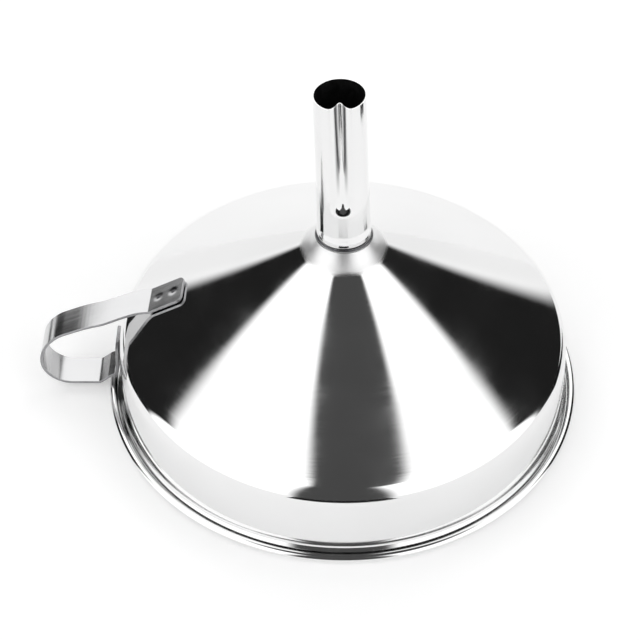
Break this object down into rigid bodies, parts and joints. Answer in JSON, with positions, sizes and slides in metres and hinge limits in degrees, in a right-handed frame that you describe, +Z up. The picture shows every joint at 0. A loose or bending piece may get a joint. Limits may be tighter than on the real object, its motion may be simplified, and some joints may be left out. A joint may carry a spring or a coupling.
{
  "type": "canning funnel",
  "caption": "Small stainless steel funnel with a wide rolled-rim cone, a vented spout and a strap loop handle for filling bottles and jars.",
  "frame": {"origin": "middle of the bounding box's bottom, on the plane the rim stands on; the funnel's axis is 9.05 mm towards +X from it because the handle sticks out on the -X side", "axes": "+Z up along the funnel's axis, from the wide mouth to the spout's tip; +X away from the handle; the spout's vent groove faces -Y"},
  "size_m": [0.1482, 0.13, 0.099],
  "materials": {
    "bowl_steel": "mirror-polished stainless sheet with fine spun lines",
    "spout_steel": "polished drawn stainless tube",
    "strap_steel": "lightly brushed stainless strap",
    "weld_metal": "dull welded steel"
  },
  "bodies": {
    "root": {"bowl": "bowl_steel", "spout": "spout_steel", "neck_weld_ring": "weld_metal", "handle_strap": "strap_steel", "spot_weld_upper_1": "weld_metal", "spot_weld_upper_2": "weld_metal", "spot_weld_lower_1": "weld_metal", "spot_weld_lower_2": "weld_metal"}
  },
  "joints": []
}
